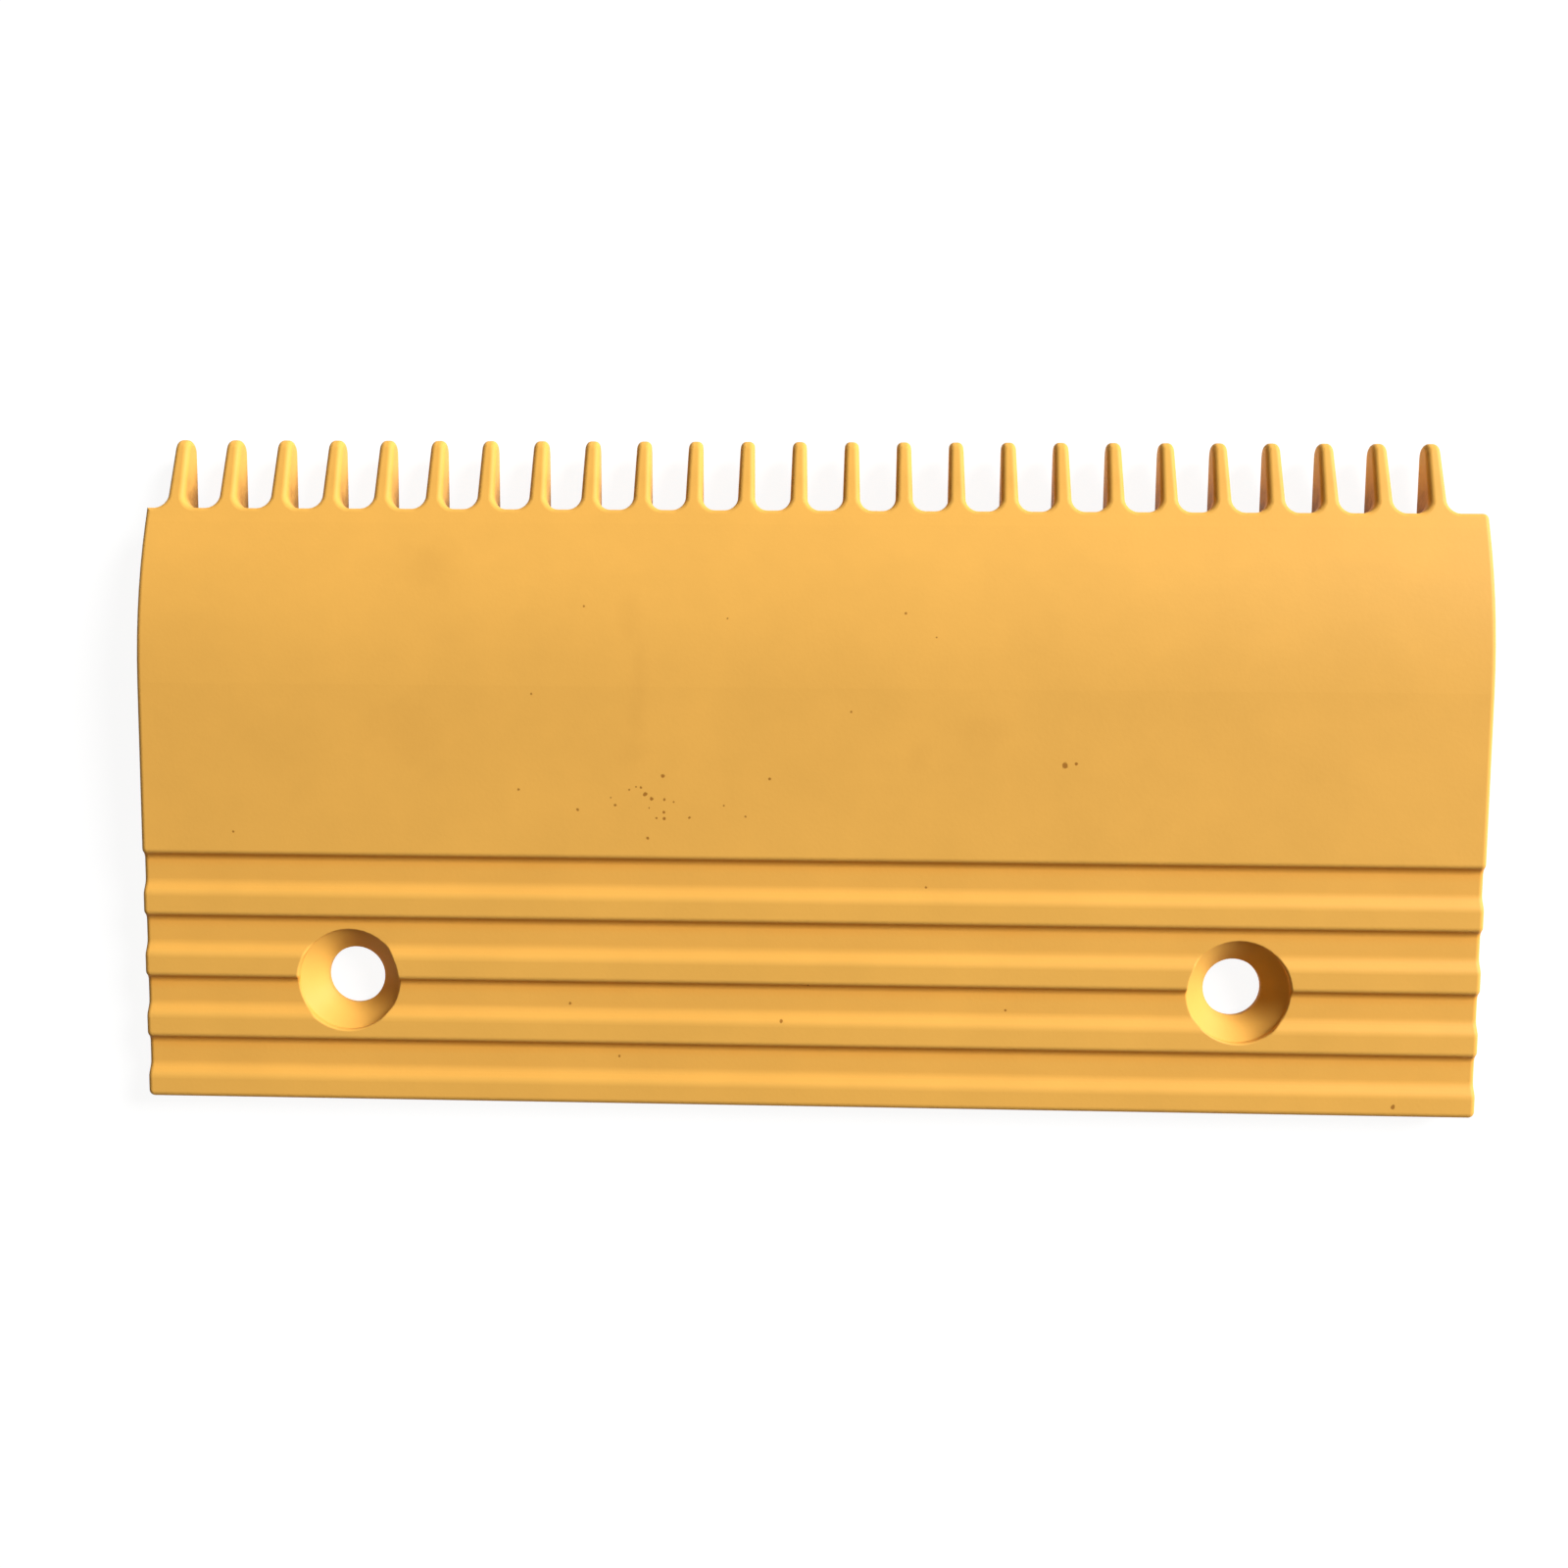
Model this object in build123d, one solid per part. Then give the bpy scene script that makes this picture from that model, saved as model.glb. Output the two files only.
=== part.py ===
from build123d import *
from math import atan2, cos, hypot, radians, sin, sqrt, tan
import os

# Escalator comb plate: one moulded plastic plate that is screwed down at the landing,
# with teeth that run in the grooves of the step treads.
# Millimetres. X runs across the escalator, +Y points out along the teeth, +Z is up.
# The origin is midway between the two screws, on the face that sits on the carrier.

# Fixing screws. A straight recess takes the cone for the head below the floors of the grooves.
hole_spacing = 145.0
hole_setback = 20.0
screw_bore = 9.5
countersink_mouth = 16.5
countersink_angle = 90.0
head_recess = 0.4
mouth_radius = 0.33

# Flange and tread, with depths measured from the rear edge
flange_thickness = 5.8
flange_depth = 44.0
tread_depth = 68.5
rear_corner_radius = 1.0
front_corner_radius = 1.0
edge_radius = 0.9

# Grip grooves across the flange, each a steep step, a flat floor and a ramp
groove_count = 4
groove_pitch = 10.17
rear_step_setback = 10.0
groove_depth = 0.9
step_run = 0.8
groove_floor = 4.2
ramp_run = 1.7
step_crest_radius = 1.0
step_foot_radius = 1.25
ramp_radius = 2.2

# Front skin: an arc down from the flat tread, then a straight slope on to the roots of the teeth
skin_run = 28.6
slope_run = 2.4
slope_angle = 19.4
skin_thickness = 4.0
root_thickness = 2.5
shoulder_radius = 1.5

# Comb teeth, with widths taken across the top of the tooth
tooth_count = 25
tooth_pitch = 8.53
comb_offset = 0.7
tooth_length = 11.6
tooth_root_width = 3.0
tooth_taper = 0.5
tooth_draft = 3.2
nose_radius = 2.1
root_fillet_radius = 2.1
left_margin = 4.7
right_margin = 7.8

# Rib under the skin behind each tooth, level with the tooth and then running out
rib_flat = 9.0
rib_runout = 20.0

# Heights and stations that follow from the sizes above
tread_z = flange_thickness
rear_y = -hole_setback
shoulder_y = rear_y + flange_depth
crown_y = rear_y + tread_depth
root_y = crown_y + skin_run
tip_y = root_y + tooth_length
first_tooth_x = comb_offset - tooth_pitch * (tooth_count - 1) / 2
last_tooth_x = comb_offset + tooth_pitch * (tooth_count - 1) / 2
left_x = first_tooth_x - left_margin
right_x = last_tooth_x + right_margin
draft = tan(radians(tooth_draft))
slope = radians(slope_angle)
slope_y = root_y - slope_run
crown_radius = (slope_y - crown_y) / sin(slope)
crown_z = tread_z - crown_radius
slope_z = crown_z + crown_radius * cos(slope)


def top_height(y):
    """Height of the top surface in front of the flat tread."""
    if y < slope_y:
        return crown_z + sqrt(crown_radius ** 2 - (y - crown_y) ** 2)
    return slope_z - (y - slope_y) * tan(slope)


# The slope goes on along the tops of the teeth to a round nose, level with their bottoms
root_z = top_height(root_y)
nose_y = tip_y - nose_radius
nose_z = top_height(nose_y) - nose_radius / cos(slope)
nose_top_y = nose_y + nose_radius * sin(slope)
nose_top_z = nose_z + nose_radius * cos(slope)
tooth_bottom_z = nose_z - nose_radius
tooth_tip_width = tooth_root_width - tooth_taper

# The underside leaves the flat skin on an arc of its own and thins towards the roots
under_z = tread_z - skin_thickness
under_root_z = root_z - root_thickness
under_drop = under_z - under_root_z
under_run = root_y - crown_y
under_radius = (under_run ** 2 + under_drop ** 2) / (2 * under_drop)
wall_foot_y = root_y - root_thickness * draft

# No edge is rounded further than its narrowest wall or tightest hollow allows
tooth_bottom_width = tooth_root_width - 2 * (root_z - tooth_bottom_z) * draft
rim_radius = min(edge_radius, step_foot_radius * 0.85, tooth_bottom_width * 0.42)
lip_radius = min(mouth_radius, head_recess * 0.9)
shoulder_bend = min(shoulder_radius, under_z * 0.85)
tooth_gap = tooth_pitch - tooth_root_width
end_wall = min(left_margin, right_margin) - tooth_root_width / 2 - rim_radius
root_fillet = min(root_fillet_radius, tooth_gap * 0.42, end_wall * 0.95)
step_half_turn = atan2(groove_depth, step_run) / 2
step_share = 0.97 * hypot(groove_depth, step_run) / tan(step_half_turn)
crest_radius = min(step_crest_radius, step_share - step_foot_radius)
cone_top_z = tread_z - groove_depth - head_recess


def under_height(y):
    """Height of the underside of the skin in front of the shoulder."""
    if y < crown_y:
        return under_z
    return under_z - under_radius + sqrt(under_radius ** 2 - (y - crown_y) ** 2)


def under_edges(y_from, y_to, lift=0.0):
    """Underside of the skin between two stations, or a line that much above it."""
    edges = []
    flat_end = min(crown_y, y_to)
    if y_from < flat_end:
        edges.append(Line((y_from, under_z + lift), (flat_end, under_z + lift)))
    arc_start = max(crown_y, y_from)
    middle = (arc_start + y_to) / 2
    points = [(y, under_height(y) + lift) for y in (arc_start, middle, y_to)]
    edges.append(ThreePointArc(*points))
    return edges


def across(section, x_from, x_to):
    """Solid from a section drawn as (y, z), run across the plate from one x to another."""
    return extrude(Plane.YZ.offset(x_from) * section, x_to - x_from)


def corners_at(section, points):
    """Corners of a flat section that lie at the given points."""
    found = []
    for vertex in section.vertices():
        if any(hypot(vertex.X - y, vertex.Y - z) < 1e-4 for y, z in points):
            found.append(vertex)
    return found


def groove_points(index):
    """Corners of one groove, from the top of its ramp to the crest of its step."""
    step_y = rear_y + rear_step_setback + index * groove_pitch
    foot_y = step_y - step_run / 2
    floor_y = foot_y - groove_floor
    floor_z = tread_z - groove_depth
    return [(floor_y - ramp_run, tread_z), (floor_y, floor_z), (foot_y, floor_z),
            (step_y + step_run / 2, tread_z)]


def plate_section():
    """Section through flange, grooves and skin, from the rear edge to the roots."""
    grooves = [groove_points(index) for index in range(groove_count)]
    shoulder = (shoulder_y, under_z)
    corners = [shoulder, (shoulder_y, 0), (rear_y, 0), (rear_y, tread_z)]
    for groove in grooves:
        corners += groove
    corners.append((crown_y, tread_z))
    edges = list(Polyline(*corners).edges())
    middle = (crown_y + slope_y) / 2
    edges.append(ThreePointArc(*[(y, top_height(y)) for y in (crown_y, middle, slope_y)]))
    wall_foot = (wall_foot_y, under_height(wall_foot_y))
    edges += Polyline((slope_y, slope_z), (root_y, root_z), wall_foot).edges()
    edges += under_edges(shoulder_y, wall_foot_y)
    section = make_face(edges)
    section = fillet(corners_at(section, [g[k] for g in grooves for k in (0, 1)]), ramp_radius)
    section = fillet(corners_at(section, [g[2] for g in grooves]), step_foot_radius)
    section = fillet(corners_at(section, [g[3] for g in grooves]), crest_radius)
    return fillet(corners_at(section, [shoulder]), shoulder_bend)


def plate_blank():
    """The plate without teeth or holes, with its upright corners rounded."""
    blank = across(plate_section(), left_x, right_x)
    rear = [e for e in blank.edges() if e.bounding_box().max.Y < rear_y + 1e-3]
    blank = fillet([e for e in rear if e.bounding_box().size.X < 1e-3], rear_corner_radius)
    front = [e for e in blank.edges() if e.bounding_box().min.Y > wall_foot_y - 1e-3]
    return fillet([e for e in front if e.bounding_box().min.X > right_x - 1e-3], front_corner_radius)


def blade():
    """One tooth with its rib: a drafted blade that closes to the tip, with a round nose."""
    rib_y = root_y - rib_flat - rib_runout
    rib_foot = (root_y - rib_flat, tooth_bottom_z)
    bite = root_thickness / 2
    heel_y = root_y - root_thickness
    nose_top = (nose_top_y, nose_top_z)
    edges = [Line((root_y, root_z), nose_top)]
    edges.append(ThreePointArc(nose_top, (tip_y, nose_z), (nose_y, tooth_bottom_z)))
    edges.append(Line((nose_y, tooth_bottom_z), rib_foot))
    edges.append(TangentArc(rib_foot, (rib_y, under_height(rib_y) + bite), tangent=(-1, 0)))
    edges += under_edges(rib_y, heel_y, bite)
    edges.append(Line((heel_y, under_height(heel_y) + bite), (root_y, root_z)))
    solid = across(make_face(edges), -tooth_pitch / 2, tooth_pitch / 2)
    for side in (-1, 1):
        root_corner = Vector(side * tooth_root_width / 2, root_y, root_z)
        tip_corner = Vector(side * tooth_tip_width / 2, *nose_top)
        along = tip_corner - root_corner
        down = Vector(-side * draft, 0, -1)
        flank = Plane(root_corner, x_dir=along, z_dir=down.cross(along) * side)
        solid = split(solid, bisect_by=flank, keep=Keep.BOTTOM)
    return solid


def root_corners(comb):
    """The upright edges where the flanks of the teeth meet the wall between them."""
    found = []
    for edge in comb.edges():
        box = edge.bounding_box()
        upright = box.size.Z > root_thickness / 2 and box.size.X < tooth_tip_width / 2
        on_wall = box.min.Y > wall_foot_y - 1e-3 and box.max.Y < root_y + 1e-3
        middle = edge.center().X
        among_teeth = first_tooth_x - tooth_root_width < middle < last_tooth_x + tooth_root_width
        if upright and on_wall and among_teeth:
            found.append(edge)
    return found


def rim_seeds(comb):
    """One or more edges of each run that goes round the top of the moulding."""
    found = []
    for edge in comb.edges():
        middle = edge.center()
        ridge = middle.Y > root_y and middle.Z > nose_z and edge.length > tooth_length / 2
        at_end = min(abs(middle.X - left_x), abs(middle.X - right_x)) < 1e-3
        tread_side = at_end and abs(middle.Z - tread_z) < 1e-3 and edge.length > groove_pitch
        if ridge or tread_side:
            found.append(edge)
    return found


def screw_hole():
    """Cutter for one screw hole, with its axis on Z: bore, cone and head recess."""
    mouth = countersink_mouth / 2
    bore = screw_bore / 2
    cone_z = cone_top_z - (mouth - bore) / tan(radians(countersink_angle / 2))
    beyond = flange_thickness
    outline = Polyline((0, -beyond), (bore, -beyond), (bore, cone_z), (mouth, cone_top_z),
                       (mouth, tread_z + beyond), (0, tread_z + beyond), close=True)
    return revolve(Plane.XZ * make_face(outline.edges()), Axis.Z)


def mouth_edges(comb, x):
    """The edge of the tread round the mouth of the screw hole at this x."""
    found = []
    for edge in comb.edges():
        box = edge.bounding_box()
        reach = [hypot(point.X - x, point.Y) for point in (edge @ 0, edge @ 0.5, edge @ 1)]
        on_mouth = max(abs(r - countersink_mouth / 2) for r in reach) < 1e-3
        if on_mouth and box.min.Z > cone_top_z + 1e-3:
            found.append(edge)
    return found


def comb_plate():
    """The whole moulding: plate, teeth with their ribs, rounded rim and screw holes."""
    tooth = blade()
    comb = plate_blank()
    comb += [Pos(first_tooth_x + index * tooth_pitch, 0, 0) * tooth for index in range(tooth_count)]
    comb = fillet(root_corners(comb), root_fillet)
    comb = fillet(rim_seeds(comb), rim_radius)
    for x in (-hole_spacing / 2, hole_spacing / 2):
        comb -= Pos(x, 0, 0) * screw_hole()
        comb = fillet(mouth_edges(comb, x), lip_radius)
    return comb


os.makedirs("parts", exist_ok=True)
export_step(comb_plate(), "parts/comb_plate.step")
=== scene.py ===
"""Looks of the escalator comb plate: its moulded plastic, the marks of use and the painted shade on it, and
the stage.
"""

from math import cos, radians, sin

import bpy
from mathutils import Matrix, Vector

bl_info = {
    "name": "Escalator Comb Plate",
    "version": (1, 0, 0),
    "blender": (4, 5, 0),
    "location": "View3D > Sidebar > Comb Plate",
    "description": "Finishes the comb plate's moulded plastic and sets its stage",
    "category": "Object",
}

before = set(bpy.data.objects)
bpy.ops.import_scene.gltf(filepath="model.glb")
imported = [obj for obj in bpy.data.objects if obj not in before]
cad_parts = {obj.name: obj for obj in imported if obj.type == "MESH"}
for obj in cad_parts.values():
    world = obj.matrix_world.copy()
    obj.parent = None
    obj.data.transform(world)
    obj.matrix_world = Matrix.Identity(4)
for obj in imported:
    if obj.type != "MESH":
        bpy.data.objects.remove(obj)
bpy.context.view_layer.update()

MM = 0.001
PLATE = "comb_plate"

# The flat fixing flange stands on its rear lower edge and on the heels of the ribs
REAR_FOOT = Vector((0, -20.0, 0)) * MM
RIB_HEEL = Vector((0, 68.1, -7.2)) * MM

# The wall between the roots of the teeth
ROOT_Y = 77.1 * MM

# The grooves across the flange, back from the crest of their front step
TREAD_Z = 5.8 * MM
GROOVE_DEPTH = 0.9 * MM
GROOVE_PITCH = 10.17 * MM
FRONT_STEP_Y = 20.91 * MM

# Gloss of the plastic, the same all over
PLASTIC_IOR = 1.5
PLASTIC_SPECULAR = 0.15

# Softness of a mark's edge and the number of ragged bits in a metre, and how far the bits reach
SPECK_EDGE = (0.3, 1800.0)
SMUDGE_EDGE = (0.9, 300.0)
RAGGED_LEAST = 0.2
RAGGED_SWING = 1.6

# The painted shade at the tooth roots starts and is full this far below the level of the seat, which is
# about the top of the teeth at their roots, and ends this far inside the wall. Its patches are counted in a
# metre.
ROOT_SHADE_TOP = 0.3 * MM
ROOT_SHADE_FULL = 3.2 * MM
ROOT_SHADE_INSIDE = 0.4 * MM
ROOT_SHADE_PATCHES = 420.0
ROOT_SHADE_PATCH_EDGE = (0.38, 0.62)
ROOT_SHADE_THINNEST = 0.55

# The painted step shadow, with some dust, starts, is full and ends at these shares of a groove's depth,
# thins to this share away from the step, and stops this far ahead of the front step. Its patches are
# counted in a metre.
SHADOW_AND_DUST_TOP = 0.1
SHADOW_AND_DUST_FULL = 0.5
SHADOW_AND_DUST_END = 1.3
SHADOW_AND_DUST_THINNEST = 0.15
SHADOW_AND_DUST_AHEAD = 1.0 * MM
SHADOW_AND_DUST_PATCHES = 90.0
SHADOW_AND_DUST_LEAST = 0.6
SHADOW_AND_DUST_SWING = 0.8

# Width of the camera's frame in millimetres, and the nearest that it sees in metres
CAMERA_SENSOR = 36.0
CAMERA_NEAR = 0.01

# Specks of old dirt on the tread, as (x, y, radius) in millimetres
SPECKS = (
    (43.6, 36.5, 0.44), (45.4, 36.8, 0.24), (-23.5, 31.2, 0.32), (-20.7, 34.2, 0.29), (-22.5, 30.5, 0.27),
    (-20.4, 27.3, 0.24), (-28.4, 29.4, 0.24), (-16.4, 27.5, 0.22), (-20.5, 28.3, 0.22), (-34.5, 28.6, 0.22),
    (-20.4, 30.4, 0.22), (-24.2, 32.3, 0.19), (-21.7, 27.4, 0.16), (-23.1, 24.1, 0.21), (-3.5, 33.9, 0.22),
    (-44.0, 31.8, 0.21), (-7.3, 27.8, 0.21), (-10.8, 29.5, 0.16), (-36.0, -3.4, 0.22), (-1.3, -5.7, 0.26),
    (-27.9, -12.1, 0.21), (97.6, -18.2, 0.32), (35.1, -3.5, 0.19), (21.9, 16.5, 0.18), (3.0, 0.3, 0.18),
    (-33.5, 61.3, 0.18), (-41.9, 47.2, 0.19), (-10.4, 59.5, 0.16), (18.0, 60.5, 0.18), (22.9, 56.7, 0.16),
    (9.5, 44.8, 0.16), (-90.9, 24.4, 0.16),
    (-26.1, 31.9, 0.14), (-18.9, 30.0, 0.14), (-22.9, 29.0, 0.14), (-29.1, 30.6, 0.14), (-25.0, 32.4, 0.13),
)

# Soft smudges on the tread, as (x, y, length across, length along) in millimetres
SMUDGES = (
    (-26.2, 60.0, 1.5, 3.8), (-24.5, 50.2, 1.2, 5.4), (-24.8, 43.1, 1.1, 3.6), (-25.6, 37.9, 2.0, 2.4),
    (-62.3, 40.4, 6.4, 4.0), (-58.6, 67.5, 3.8, 3.2), (30.7, 41.9, 2.9, 2.6), (20.3, 37.6, 1.8, 2.2),
)


def new_group(name, inputs, outputs):
    """Shader node group with named sockets. Inputs are (name, socket type, default)."""
    group = bpy.data.node_groups.new(name, "ShaderNodeTree")
    for label, kind, default in inputs:
        socket = group.interface.new_socket(label, in_out="INPUT", socket_type=kind)
        socket.default_value = default
    for label, kind in outputs:
        group.interface.new_socket(label, in_out="OUTPUT", socket_type=kind)
    entry = group.nodes.new("NodeGroupInput")
    leave = group.nodes.new("NodeGroupOutput")
    return group, entry.outputs, leave.inputs


def add_node(tree, kind, given=None, **settings):
    """A node with its settings made and its inputs set to a value or linked to a socket."""
    node = tree.nodes.new(kind)
    for name, value in settings.items():
        setattr(node, name, value)
    for key, source in (given or {}).items():
        if isinstance(source, bpy.types.NodeSocket):
            tree.links.new(source, node.inputs[key])
        else:
            node.inputs[key].default_value = source
    return node


def math_node(tree, operation, first, second=0.0, third=0.0, clamp=False):
    """Result of one sum on values or sockets."""
    node = add_node(tree, "ShaderNodeMath", {0: first, 1: second, 2: third}, operation=operation)
    node.use_clamp = clamp
    return node.outputs[0]


def smooth_range(tree, value, start, end, at_start, at_end):
    """A value that goes smoothly from one level to another between two points."""
    given = {"Value": value, "From Min": start, "From Max": end, "To Min": at_start, "To Max": at_end}
    return add_node(tree, "ShaderNodeMapRange", given, interpolation_type="SMOOTHSTEP").outputs[0]


def seen_directly(tree):
    """Mask of what the camera sees straight, in a reflection or through glass."""
    seen = add_node(tree, "ShaderNodeLightPath").outputs
    reflected = math_node(tree, "MAXIMUM", seen["Is Camera Ray"], seen["Is Glossy Ray"])
    return math_node(tree, "MAXIMUM", reflected, seen["Is Transmission Ray"])


def place_group(tree, name, **values):
    """An instance of a node group in a material, with inputs named with underscores for spaces."""
    node = tree.nodes.new("ShaderNodeGroup")
    node.node_tree = bpy.data.node_groups[name]
    for key, source in values.items():
        socket = node.inputs[key.replace("_", " ")]
        if isinstance(source, bpy.types.NodeSocket):
            tree.links.new(source, socket)
        else:
            socket.default_value = source
    return node.outputs


def mark_group():
    """Mask of one ragged mark round a point of the tread, as wide and as long as its size."""
    group, given, out = new_group(
        "dirt_mark",
        (("Position", "NodeSocketVector", (0, 0, 0)),
         ("Centre", "NodeSocketVector", (0, 0, 0)),
         ("Size", "NodeSocketVector", (0.0003, 0.0003, 1)),
         ("Softness", "NodeSocketFloat", 0.3),
         ("Ragged scale", "NodeSocketFloat", 1800.0)),
        (("Mask", "NodeSocketFloat"),))
    apart = add_node(group, "ShaderNodeVectorMath", {0: given["Position"], 1: given["Centre"]},
                     operation="SUBTRACT").outputs[0]
    share = add_node(group, "ShaderNodeVectorMath", {0: apart, 1: given["Size"]},
                     operation="DIVIDE").outputs[0]
    distance = add_node(group, "ShaderNodeVectorMath", {0: share}, operation="LENGTH").outputs["Value"]
    ragged = add_node(group, "ShaderNodeTexNoise",
                      {"Vector": given["Position"], "Scale": given["Ragged scale"],
                       "Detail": 2.0}).outputs["Fac"]
    edge = math_node(group, "MULTIPLY_ADD", ragged, RAGGED_SWING, RAGGED_LEAST)
    mask = smooth_range(group, math_node(group, "DIVIDE", distance, edge),
                        math_node(group, "SUBTRACT", 1.0, given["Softness"]),
                        math_node(group, "ADD", 1.0, given["Softness"]), 1.0, 0.0)
    group.links.new(mask, out["Mask"])


def root_shade_group():
    """Mask of painted shade low on the teeth, close to the wall at their roots."""
    group, given, out = new_group(
        "painted_root_shade",
        (("Position", "NodeSocketVector", (0, 0, 0)),
         ("Root", "NodeSocketFloat", 0.077),
         ("Reach", "NodeSocketFloat", 0.006),
         ("Top", "NodeSocketFloat", 0.0)),
        (("Mask", "NodeSocketFloat"),))
    place = add_node(group, "ShaderNodeSeparateXYZ", {0: given["Position"]}).outputs
    out_from_root = math_node(group, "SUBTRACT", place["Y"], given["Root"])
    share = math_node(group, "DIVIDE", out_from_root, given["Reach"])
    near = smooth_range(group, share, 0.0, 1.0, 1.0, 0.0)
    low = smooth_range(group, math_node(group, "SUBTRACT", given["Top"], place["Z"]),
                       ROOT_SHADE_TOP, ROOT_SHADE_FULL, 0.0, 1.0)
    ahead = math_node(group, "GREATER_THAN", out_from_root, -ROOT_SHADE_INSIDE)
    patches = add_node(group, "ShaderNodeTexNoise",
                       {"Vector": given["Position"], "Scale": ROOT_SHADE_PATCHES, "Detail": 5.0,
                        "Roughness": 0.7}).outputs["Fac"]
    broken = smooth_range(group, patches, *ROOT_SHADE_PATCH_EDGE, ROOT_SHADE_THINNEST, 1.0)
    mask = math_node(group, "MULTIPLY", math_node(group, "MULTIPLY", near, low),
                     math_node(group, "MULTIPLY", broken, ahead))
    group.links.new(mask, out["Mask"])


def step_shadow_and_dust_group():
    """Mask of painted shadow with some dust in the grooves of the tread, thickest at the foot of each step.
    """
    group, given, out = new_group(
        "groove_shadow_and_dust",
        (("Position", "NodeSocketVector", (0, 0, 0)),
         ("Tread", "NodeSocketFloat", 0.0058),
         ("Depth", "NodeSocketFloat", 0.0009),
         ("Step", "NodeSocketFloat", 0.0209),
         ("Pitch", "NodeSocketFloat", 0.0102),
         ("Reach", "NodeSocketFloat", 0.002)),
        (("Mask", "NodeSocketFloat"),))
    place = add_node(group, "ShaderNodeSeparateXYZ", {0: given["Position"]}).outputs
    below = math_node(group, "SUBTRACT", given["Tread"], place["Z"])
    sunk = math_node(group, "DIVIDE", below, given["Depth"])
    deep = smooth_range(group, sunk, SHADOW_AND_DUST_TOP, SHADOW_AND_DUST_FULL, 0.0, 1.0)
    behind = math_node(group, "FLOORED_MODULO",
                       math_node(group, "SUBTRACT", given["Step"], place["Y"]), given["Pitch"])
    share = math_node(group, "DIVIDE", behind, given["Reach"])
    foot = smooth_range(group, share, 0.0, 1.0, 1.0, SHADOW_AND_DUST_THINNEST)
    front = math_node(group, "ADD", given["Step"], SHADOW_AND_DUST_AHEAD)
    on_flange = math_node(group, "LESS_THAN", place["Y"], front)
    on_top = math_node(group, "LESS_THAN", sunk, SHADOW_AND_DUST_END)
    patches = add_node(group, "ShaderNodeTexNoise",
                       {"Vector": given["Position"], "Scale": SHADOW_AND_DUST_PATCHES, "Detail": 4.0,
                        "Roughness": 0.6}).outputs["Fac"]
    uneven = math_node(group, "MULTIPLY_ADD", patches, SHADOW_AND_DUST_SWING, SHADOW_AND_DUST_LEAST)
    mask = math_node(group, "MULTIPLY", math_node(group, "MULTIPLY", deep, foot),
                     math_node(group, "MULTIPLY", on_flange, on_top))
    group.links.new(math_node(group, "MULTIPLY", mask, uneven, clamp=True), out["Mask"])


def drift_group():
    """Slow, cloudy changes of a colour, as in a plastic that has dulled unevenly."""
    group, given, out = new_group(
        "tone_drift",
        (("Position", "NodeSocketVector", (0, 0, 0)),
         ("Colour", "NodeSocketColor", (1, 1, 1, 1)),
         ("Scale", "NodeSocketFloat", 30.0),
         ("Amount", "NodeSocketFloat", 0.05)),
        (("Colour", "NodeSocketColor"), ("Clouds", "NodeSocketFloat")))
    clouds = add_node(group, "ShaderNodeTexNoise",
                      {"Vector": given["Position"], "Scale": given["Scale"], "Detail": 3.0,
                       "Roughness": 0.65}).outputs["Fac"]
    swing = math_node(group, "SUBTRACT", clouds, 0.5)
    factor = math_node(group, "MULTIPLY_ADD", swing, given["Amount"], 1.0)
    toned = add_node(group, "ShaderNodeVectorMath", {0: given["Colour"], "Scale": factor},
                     operation="SCALE").outputs[0]
    group.links.new(toned, out["Colour"])
    group.links.new(clouds, out["Clouds"])


def grain_group():
    """Fine orange-peel grain that a spark-eroded mould leaves, as a normal."""
    group, given, out = new_group(
        "mould_grain",
        (("Position", "NodeSocketVector", (0, 0, 0)),
         ("Scale", "NodeSocketFloat", 1500.0),
         ("Height", "NodeSocketFloat", 0.00002)),
        (("Normal", "NodeSocketVector"),))
    grain = add_node(group, "ShaderNodeTexNoise",
                     {"Vector": given["Position"], "Scale": given["Scale"], "Detail": 2.0}).outputs["Fac"]
    bump = add_node(group, "ShaderNodeBump",
                    {"Height": grain, "Distance": given["Height"], "Strength": 1.0}).outputs[0]
    group.links.new(bump, out["Normal"])


def marks_mask(tree, position, marks, edge):
    """One mask for a list of marks, each (x, y, length across, length along) in millimetres."""
    softness, ragged_scale = edge
    mask = None
    for x, y, across, along in marks:
        centre = Vector((x, y, 0)) * MM
        # A metre high, so the height of the tread doesn't count
        size = Vector((across * MM, along * MM, 1))
        spot = place_group(tree, "dirt_mark", Position=position, Centre=centre, Size=size,
                           Softness=softness, Ragged_scale=ragged_scale)["Mask"]
        mask = spot if mask is None else math_node(tree, "MAXIMUM", mask, spot)
    return mask


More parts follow.
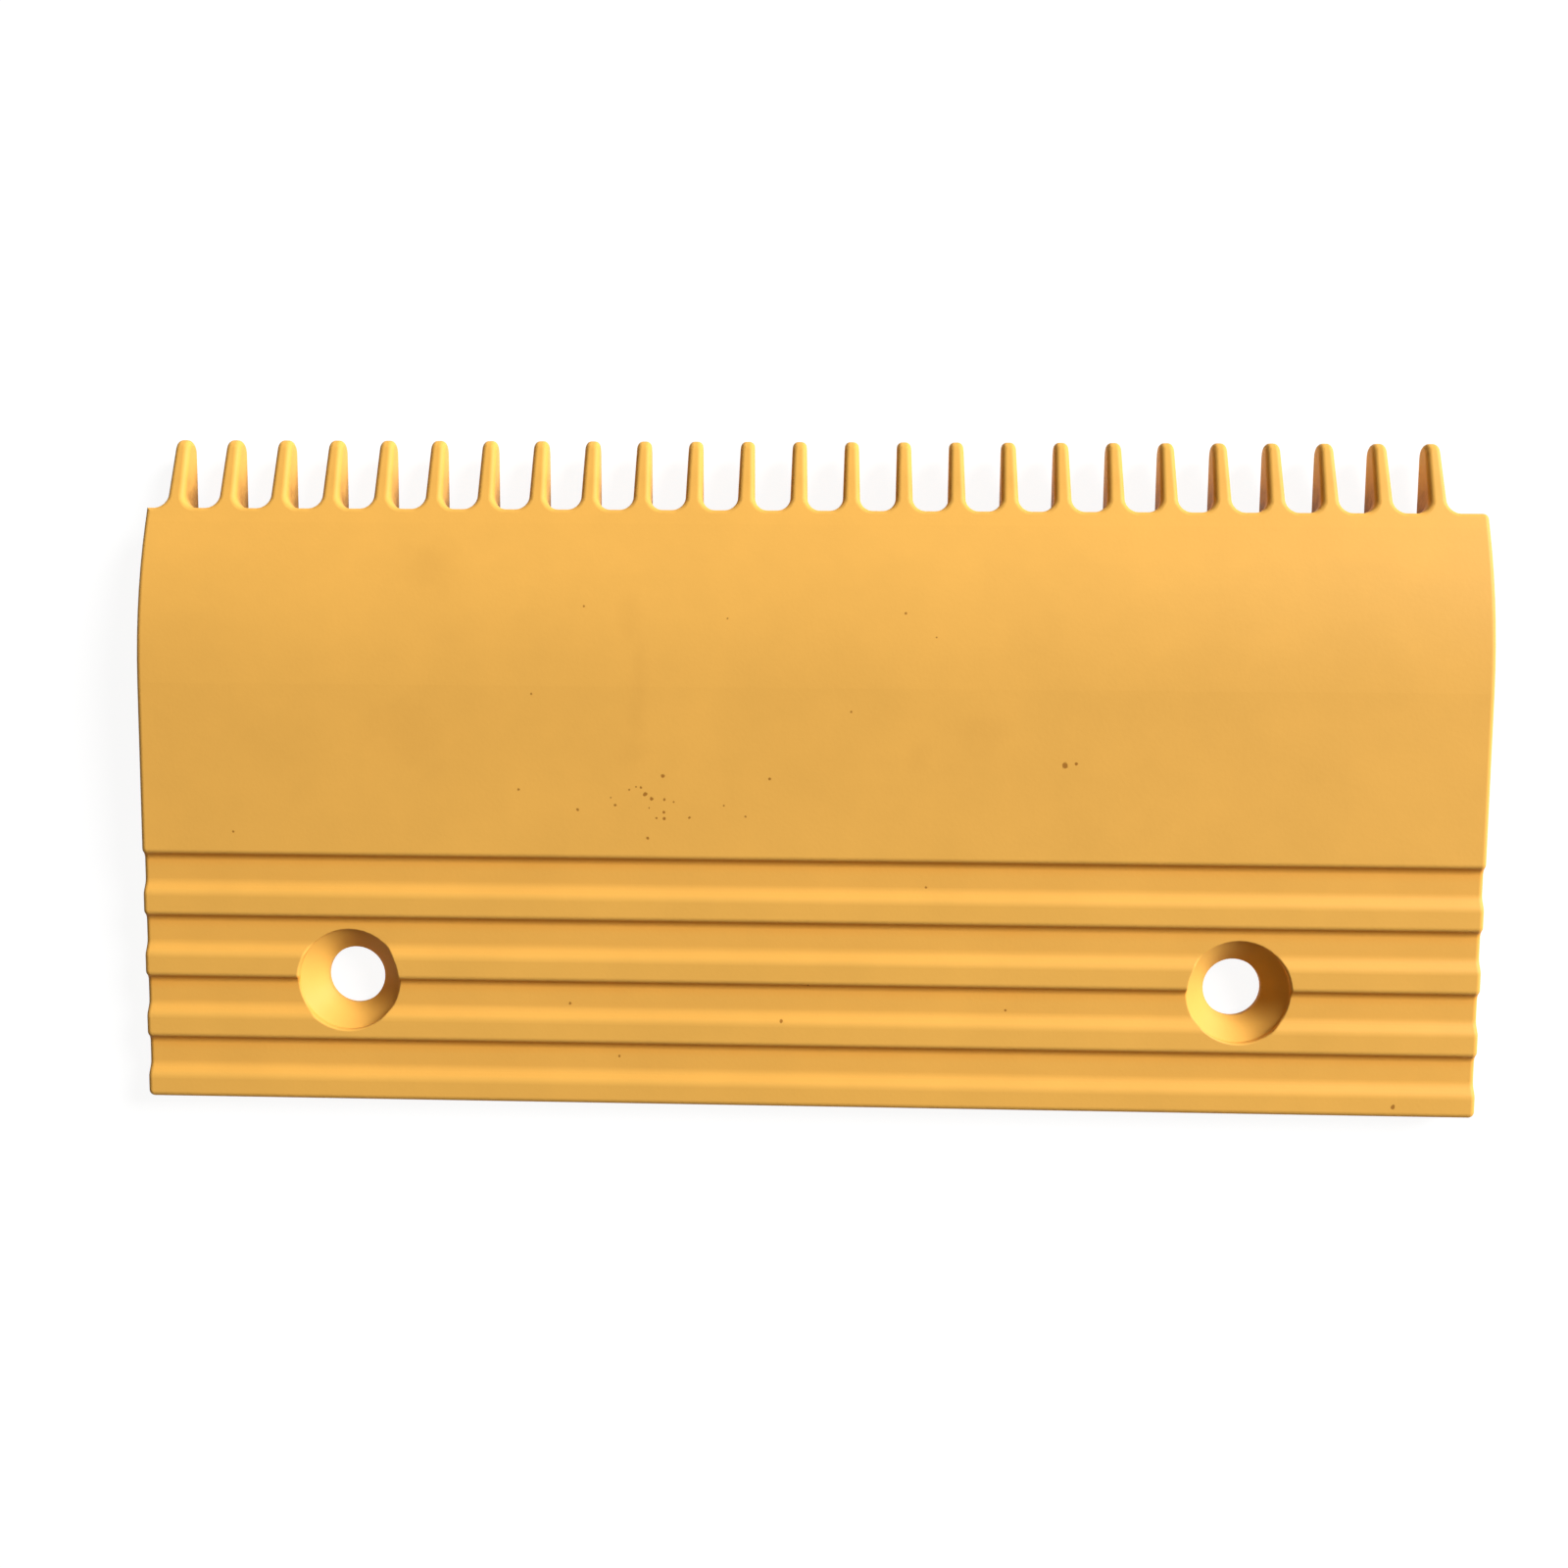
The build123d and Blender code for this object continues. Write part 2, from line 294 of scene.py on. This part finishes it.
def plastic_material(look):
    """Satin yellow plastic with uneven tone, a fine grain, the dirt of use, painted shadow with some dust
    in the grooves, and painted shade at the roots of the teeth.
    """
    material = bpy.data.materials.new("yellow_moulded_plastic")
    material.use_nodes = True
    tree = material.node_tree
    shader = tree.nodes["Principled BSDF"]
    position = add_node(tree, "ShaderNodeTexCoord").outputs["Object"]
    toned = place_group(tree, "tone_drift", Position=position, Colour=(*look.plastic_colour, 1),
                        Scale=look.drift_scale, Amount=look.drift_amount)
    grain = place_group(tree, "mould_grain", Position=position, Scale=look.grain_scale,
                        Height=look.grain_height)
    smudged = math_node(tree, "MULTIPLY", marks_mask(tree, position, SMUDGES, SMUDGE_EDGE),
                        look.smudge_strength)
    # Painted shade low on the teeth at their roots, laid on in the dirt colour
    root_shaded = math_node(tree, "MULTIPLY", place_group(
        tree, "painted_root_shade", Position=position, Root=ROOT_Y, Reach=look.root_shade_reach)["Mask"],
        look.root_shade_strength)
    specks = [(x, y, radius, radius) for x, y, radius in SPECKS]
    speckled = math_node(tree, "MULTIPLY", marks_mask(tree, position, specks, SPECK_EDGE),
                         look.dirt_strength)
    # Painted shadow at the foot of each groove step, with some dust
    shadowed_and_dusty = math_node(tree, "MULTIPLY", place_group(
        tree, "groove_shadow_and_dust", Position=position, Tread=TREAD_Z, Depth=GROOVE_DEPTH, Step=FRONT_STEP_Y,
        Pitch=GROOVE_PITCH, Reach=look.shadow_and_dust_reach)["Mask"], look.shadow_and_dust_strength)
    # One mask for the specks and smudges of dirt and the painted shade at the tooth roots
    dirt_and_shade = math_node(tree, "MAXIMUM", math_node(tree, "MAXIMUM", smudged, root_shaded), speckled)
    colour = toned["Colour"]
    for mask, soil_and_shade in ((shadowed_and_dusty, look.shadow_and_dust_colour), (dirt_and_shade, look.dirt_and_shade_colour)):
        soiled_and_shaded = add_node(tree, "ShaderNodeMix", {"Factor": mask}, data_type="RGBA")
        tree.links.new(colour, soiled_and_shaded.inputs["A"])
        soiled_and_shaded.inputs["B"].default_value = (*soil_and_shade, 1)
        colour = soiled_and_shaded.outputs["Result"]
    rough = math_node(tree, "MULTIPLY_ADD", toned["Clouds"], look.roughness_swing,
                      look.roughness - look.roughness_swing / 2)
    tree.links.new(colour, shader.inputs["Base Color"])
    tree.links.new(rough, shader.inputs["Roughness"])
    tree.links.new(grain["Normal"], shader.inputs["Normal"])
    shader.inputs["IOR"].default_value = PLASTIC_IOR
    shader.inputs["Specular IOR Level"].default_value = PLASTIC_SPECULAR
    return material


def floor_material(stage):
    """Pale floor that looks white to the camera and keeps the shadow of the plate."""
    material = bpy.data.materials.new("pale_floor")
    material.use_nodes = True
    tree = material.node_tree
    tree.nodes.remove(tree.nodes["Principled BSDF"])
    direct = seen_directly(tree)
    matt = add_node(tree, "ShaderNodeBsdfDiffuse", {"Color": (*stage.floor_colour, 1)})
    lit = add_node(tree, "ShaderNodeBsdfDiffuse", {"Color": (stage.shadow_depth,) * 3 + (1,)})
    glow = add_node(tree, "ShaderNodeEmission", {"Color": (1, 1, 1, 1), "Strength": stage.floor_glow})
    both = add_node(tree, "ShaderNodeAddShader", {0: lit.outputs[0], 1: glow.outputs[0]})
    mixed = add_node(tree, "ShaderNodeMixShader", {0: direct, 1: matt.outputs[0], 2: both.outputs[0]})
    tree.links.new(mixed.outputs[0], tree.nodes["Material Output"].inputs["Surface"])
    return material


def set_world(stage):
    """Even light from all round, behind a background that is white to the camera."""
    world = bpy.data.worlds.new("studio")
    bpy.context.scene.world = world
    world.use_nodes = True
    tree = world.node_tree
    light = tree.nodes["Background"]
    light.inputs["Color"].default_value = (*stage.ambient, 1)
    light.inputs["Strength"].default_value = 1.0
    white = add_node(tree, "ShaderNodeBackground", {"Color": (1, 1, 1, 1), "Strength": 1.0})
    direct = seen_directly(tree)
    mixed = add_node(tree, "ShaderNodeMixShader", {0: direct, 1: light.outputs[0], 2: white.outputs[0]})
    tree.links.new(mixed.outputs[0], tree.nodes["World Output"].inputs["Surface"])


def add_floor(stage):
    """Floor under the plate as it lies, on its rear edge and on the heels of its ribs."""
    half = stage.floor_size / 2
    mesh = bpy.data.meshes.new("floor")
    along = (RIB_HEEL - REAR_FOOT).normalized()
    middle = (REAR_FOOT + RIB_HEEL) / 2 - Vector((0, 0, stage.floor_gap))
    corners = [middle + Vector((x * half, 0, 0)) + along * y * half
               for x, y in ((-1, -1), (1, -1), (1, 1), (-1, 1))]
    mesh.from_pydata(corners, [], [(0, 1, 2, 3)])
    floor = bpy.data.objects.new("floor", mesh)
    floor.data.materials.append(floor_material(stage))
    bpy.context.collection.objects.link(floor)


def add_lamp(stage):
    """One broad soft lamp, low over the right front corner of the plate."""
    data = bpy.data.lights.new("key", "AREA")
    data.shape = "DISK"
    data.size = stage.lamp_size
    data.energy = stage.lamp_power
    lamp = bpy.data.objects.new("key", data)
    flat = cos(stage.lamp_height)
    towards = Vector((flat * cos(stage.lamp_bearing), flat * sin(stage.lamp_bearing),
                      sin(stage.lamp_height)))
    lamp.location = REAR_FOOT.lerp(RIB_HEEL, 0.5) + towards * stage.lamp_distance
    lamp.rotation_euler = towards.to_track_quat("Z", "Y").to_euler()
    bpy.context.collection.objects.link(lamp)


def add_camera(stage):
    """The photograph's view, nearly square on to the tread from above."""
    data = bpy.data.cameras.new("camera")
    data.sensor_width = CAMERA_SENSOR
    data.lens = stage.focal_length
    data.clip_start = CAMERA_NEAR
    camera = bpy.data.objects.new("camera", data)
    camera.location = stage.camera_place
    camera.rotation_euler = stage.camera_turn
    bpy.context.collection.objects.link(camera)
    bpy.context.scene.camera = camera


class PlasticLook(bpy.types.PropertyGroup):
    """Finish of the moulded plastic, with its dirt and its painted shade and shadow."""

    plastic_colour: bpy.props.FloatVectorProperty(
        name="Plastic colour", description="Colour of the moulded plastic",
        subtype="COLOR", size=3, min=0, max=1, default=(0.765, 0.408, 0.081))
    roughness: bpy.props.FloatProperty(
        name="Roughness", description="Middle roughness of the satin surface",
        subtype="FACTOR", min=0, max=1, default=0.52)
    roughness_swing: bpy.props.FloatProperty(
        name="Roughness swing", description="How far the roughness varies over the surface",
        subtype="FACTOR", min=0, max=1, default=0.10)
    drift_scale: bpy.props.FloatProperty(
        name="Cloud density", description="Clouds of tone in a metre", default=60.0)
    drift_amount: bpy.props.FloatProperty(
        name="Cloud strength", description="How far the tone drifts",
        subtype="FACTOR", min=0, max=1, default=0.16)
    grain_scale: bpy.props.FloatProperty(
        name="Grain density", description="Grains of the mould's texture in a metre", default=1600.0)
    grain_height: bpy.props.FloatProperty(
        name="Grain height", description="Depth of the mould's texture",
        subtype="DISTANCE", unit="LENGTH", precision=6, default=0.000012)
    # This colour also tints the painted shade at the roots of the teeth
    dirt_and_shade_colour: bpy.props.FloatVectorProperty(
        name="Dirt colour", description="Colour of the specks of dirt",
        subtype="COLOR", size=3, min=0, max=1, default=(0.30, 0.11, 0.012))
    dirt_strength: bpy.props.FloatProperty(
        name="Speck strength", description="How dark the specks are",
        subtype="FACTOR", min=0, max=1, default=0.85)
    smudge_strength: bpy.props.FloatProperty(
        name="Smudge strength", description="How dark the soft smudges are",
        subtype="FACTOR", min=0, max=1, default=0.06)
    # The next three settings give the painted shadow at the foot of each groove step, with some dust
    shadow_and_dust_colour: bpy.props.FloatVectorProperty(
        name="Dust colour", description="Colour of the dust in the grooves",
        subtype="COLOR", size=3, min=0, max=1, default=(0.76, 0.29, 0.03))
    shadow_and_dust_strength: bpy.props.FloatProperty(
        name="Dust strength", description="How much dust lies at the feet of the groove steps",
        subtype="FACTOR", min=0, max=1, default=0.6)
    shadow_and_dust_reach: bpy.props.FloatProperty(
        name="Dust reach", description="How far the dust runs back from the crest of a step",
        subtype="DISTANCE", unit="LENGTH", precision=4, default=0.003)
    # The next two settings give the painted shade low on the teeth at their roots
    root_shade_strength: bpy.props.FloatProperty(
        name="Grime strength", description="How dark the roots of the teeth are",
        subtype="FACTOR", min=0, max=1, default=0.88)
    root_shade_reach: bpy.props.FloatProperty(
        name="Grime reach", description="How far the grime runs out along the teeth",
        subtype="DISTANCE", unit="LENGTH", precision=4, default=0.0075)


class StageLook(bpy.types.PropertyGroup):
    """Floor, light and camera."""

    floor_size: bpy.props.FloatProperty(
        name="Floor size", description="Side of the floor",
        subtype="DISTANCE", unit="LENGTH", default=8.0)
    floor_gap: bpy.props.FloatProperty(
        name="Floor gap", description="Hair's breadth between floor and plate",
        subtype="DISTANCE", unit="LENGTH", precision=6, default=0.00002)
    floor_colour: bpy.props.FloatVectorProperty(
        name="Floor colour", description="Colour that the floor gives back to the plate",
        subtype="COLOR", size=3, min=0, max=1, default=(0.85, 0.78, 0.6))
    shadow_depth: bpy.props.FloatProperty(
        name="Shadow depth", description="Share of the floor's white that a shadow takes away",
        subtype="FACTOR", min=0, max=1, default=0.13)
    floor_glow: bpy.props.FloatProperty(
        name="Floor glow", description="Share of the floor's white that no shadow takes",
        subtype="FACTOR", min=0, max=1, default=0.93)
    ambient: bpy.props.FloatVectorProperty(
        name="Ambient", description="Even light from all round, in a room of warm tones",
        subtype="COLOR", size=3, min=0, max=1, default=(0.070, 0.050, 0.024))
    lamp_height: bpy.props.FloatProperty(
        name="Lamp height", description="Angle of the lamp above the tread",
        subtype="ANGLE", unit="ROTATION", default=radians(29))
    lamp_bearing: bpy.props.FloatProperty(
        name="Lamp bearing", description="Direction of the lamp, from the right-hand end to the teeth",
        subtype="ANGLE", unit="ROTATION", default=radians(31))
    lamp_distance: bpy.props.FloatProperty(
        name="Lamp distance", description="From the lamp to the plate",
        subtype="DISTANCE", unit="LENGTH", default=3.5)
    lamp_size: bpy.props.FloatProperty(
        name="Lamp size", description="Diameter of the lamp",
        subtype="DISTANCE", unit="LENGTH", default=1.9)
    lamp_power: bpy.props.FloatProperty(
        name="Lamp power", description="Power of the lamp", unit="POWER", default=247.0)
    focal_length: bpy.props.FloatProperty(
        name="Focal length", description="Focal length on a 36 mm wide frame",
        unit="CAMERA", default=33.644)
    camera_place: bpy.props.FloatVectorProperty(
        name="Camera place", description="Where the camera stands", subtype="XYZ", unit="LENGTH",
        size=3, precision=5, default=Vector((6.227, 53.368, 240.081)) * MM)
    camera_turn: bpy.props.FloatVectorProperty(
        name="Camera turn", description="Turn from looking straight down on the tread",
        subtype="EULER", unit="ROTATION", size=3, default=(radians(-4.925), radians(1.842), radians(0.442)))


class COMB_OT_moulding(bpy.types.Operator):
    """Give the one-piece moulding its plastic"""

    bl_idname = "comb.moulding"
    bl_label = "Finish the Moulding"

    def execute(self, context):
        mark_group()
        root_shade_group()
        step_shadow_and_dust_group()
        drift_group()
        grain_group()
        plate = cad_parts[PLATE]
        material = plastic_material(context.scene.comb_plastic)
        for slot in plate.material_slots:
            slot.material = material
        return {"FINISHED"}


class COMB_OT_stage(bpy.types.Operator):
    """Set the floor, the light and the camera"""

    bl_idname = "comb.stage"
    bl_label = "Set the Stage"

    def execute(self, context):
        stage = context.scene.comb_stage
        set_world(stage)
        add_floor(stage)
        add_lamp(stage)
        add_camera(stage)
        context.scene.view_settings.view_transform = "Standard"
        return {"FINISHED"}


class COMB_PT_panel(bpy.types.Panel):
    """Sizes, colours and steps of the comb plate"""

    bl_label = "Comb Plate"
    bl_space_type = "VIEW_3D"
    bl_region_type = "UI"
    bl_category = "Comb Plate"

    def draw(self, context):
        for group in (context.scene.comb_plastic, context.scene.comb_stage):
            box = self.layout.box()
            for name in group.bl_rna.properties.keys():
                if name not in ("rna_type", "name"):
                    box.prop(group, name)
        for operator in (COMB_OT_moulding, COMB_OT_stage):
            self.layout.operator(operator.bl_idname)


CLASSES = (PlasticLook, StageLook, COMB_OT_moulding, COMB_OT_stage, COMB_PT_panel)


def register():
    for cls in CLASSES:
        bpy.utils.register_class(cls)
    bpy.types.Scene.comb_plastic = bpy.props.PointerProperty(type=PlasticLook)
    bpy.types.Scene.comb_stage = bpy.props.PointerProperty(type=StageLook)


def unregister():
    del bpy.types.Scene.comb_stage
    del bpy.types.Scene.comb_plastic
    for cls in reversed(CLASSES):
        bpy.utils.unregister_class(cls)


def main():
    register()
    bpy.ops.comb.moulding()
    bpy.ops.comb.stage()


if __name__ == "__main__":
    main()
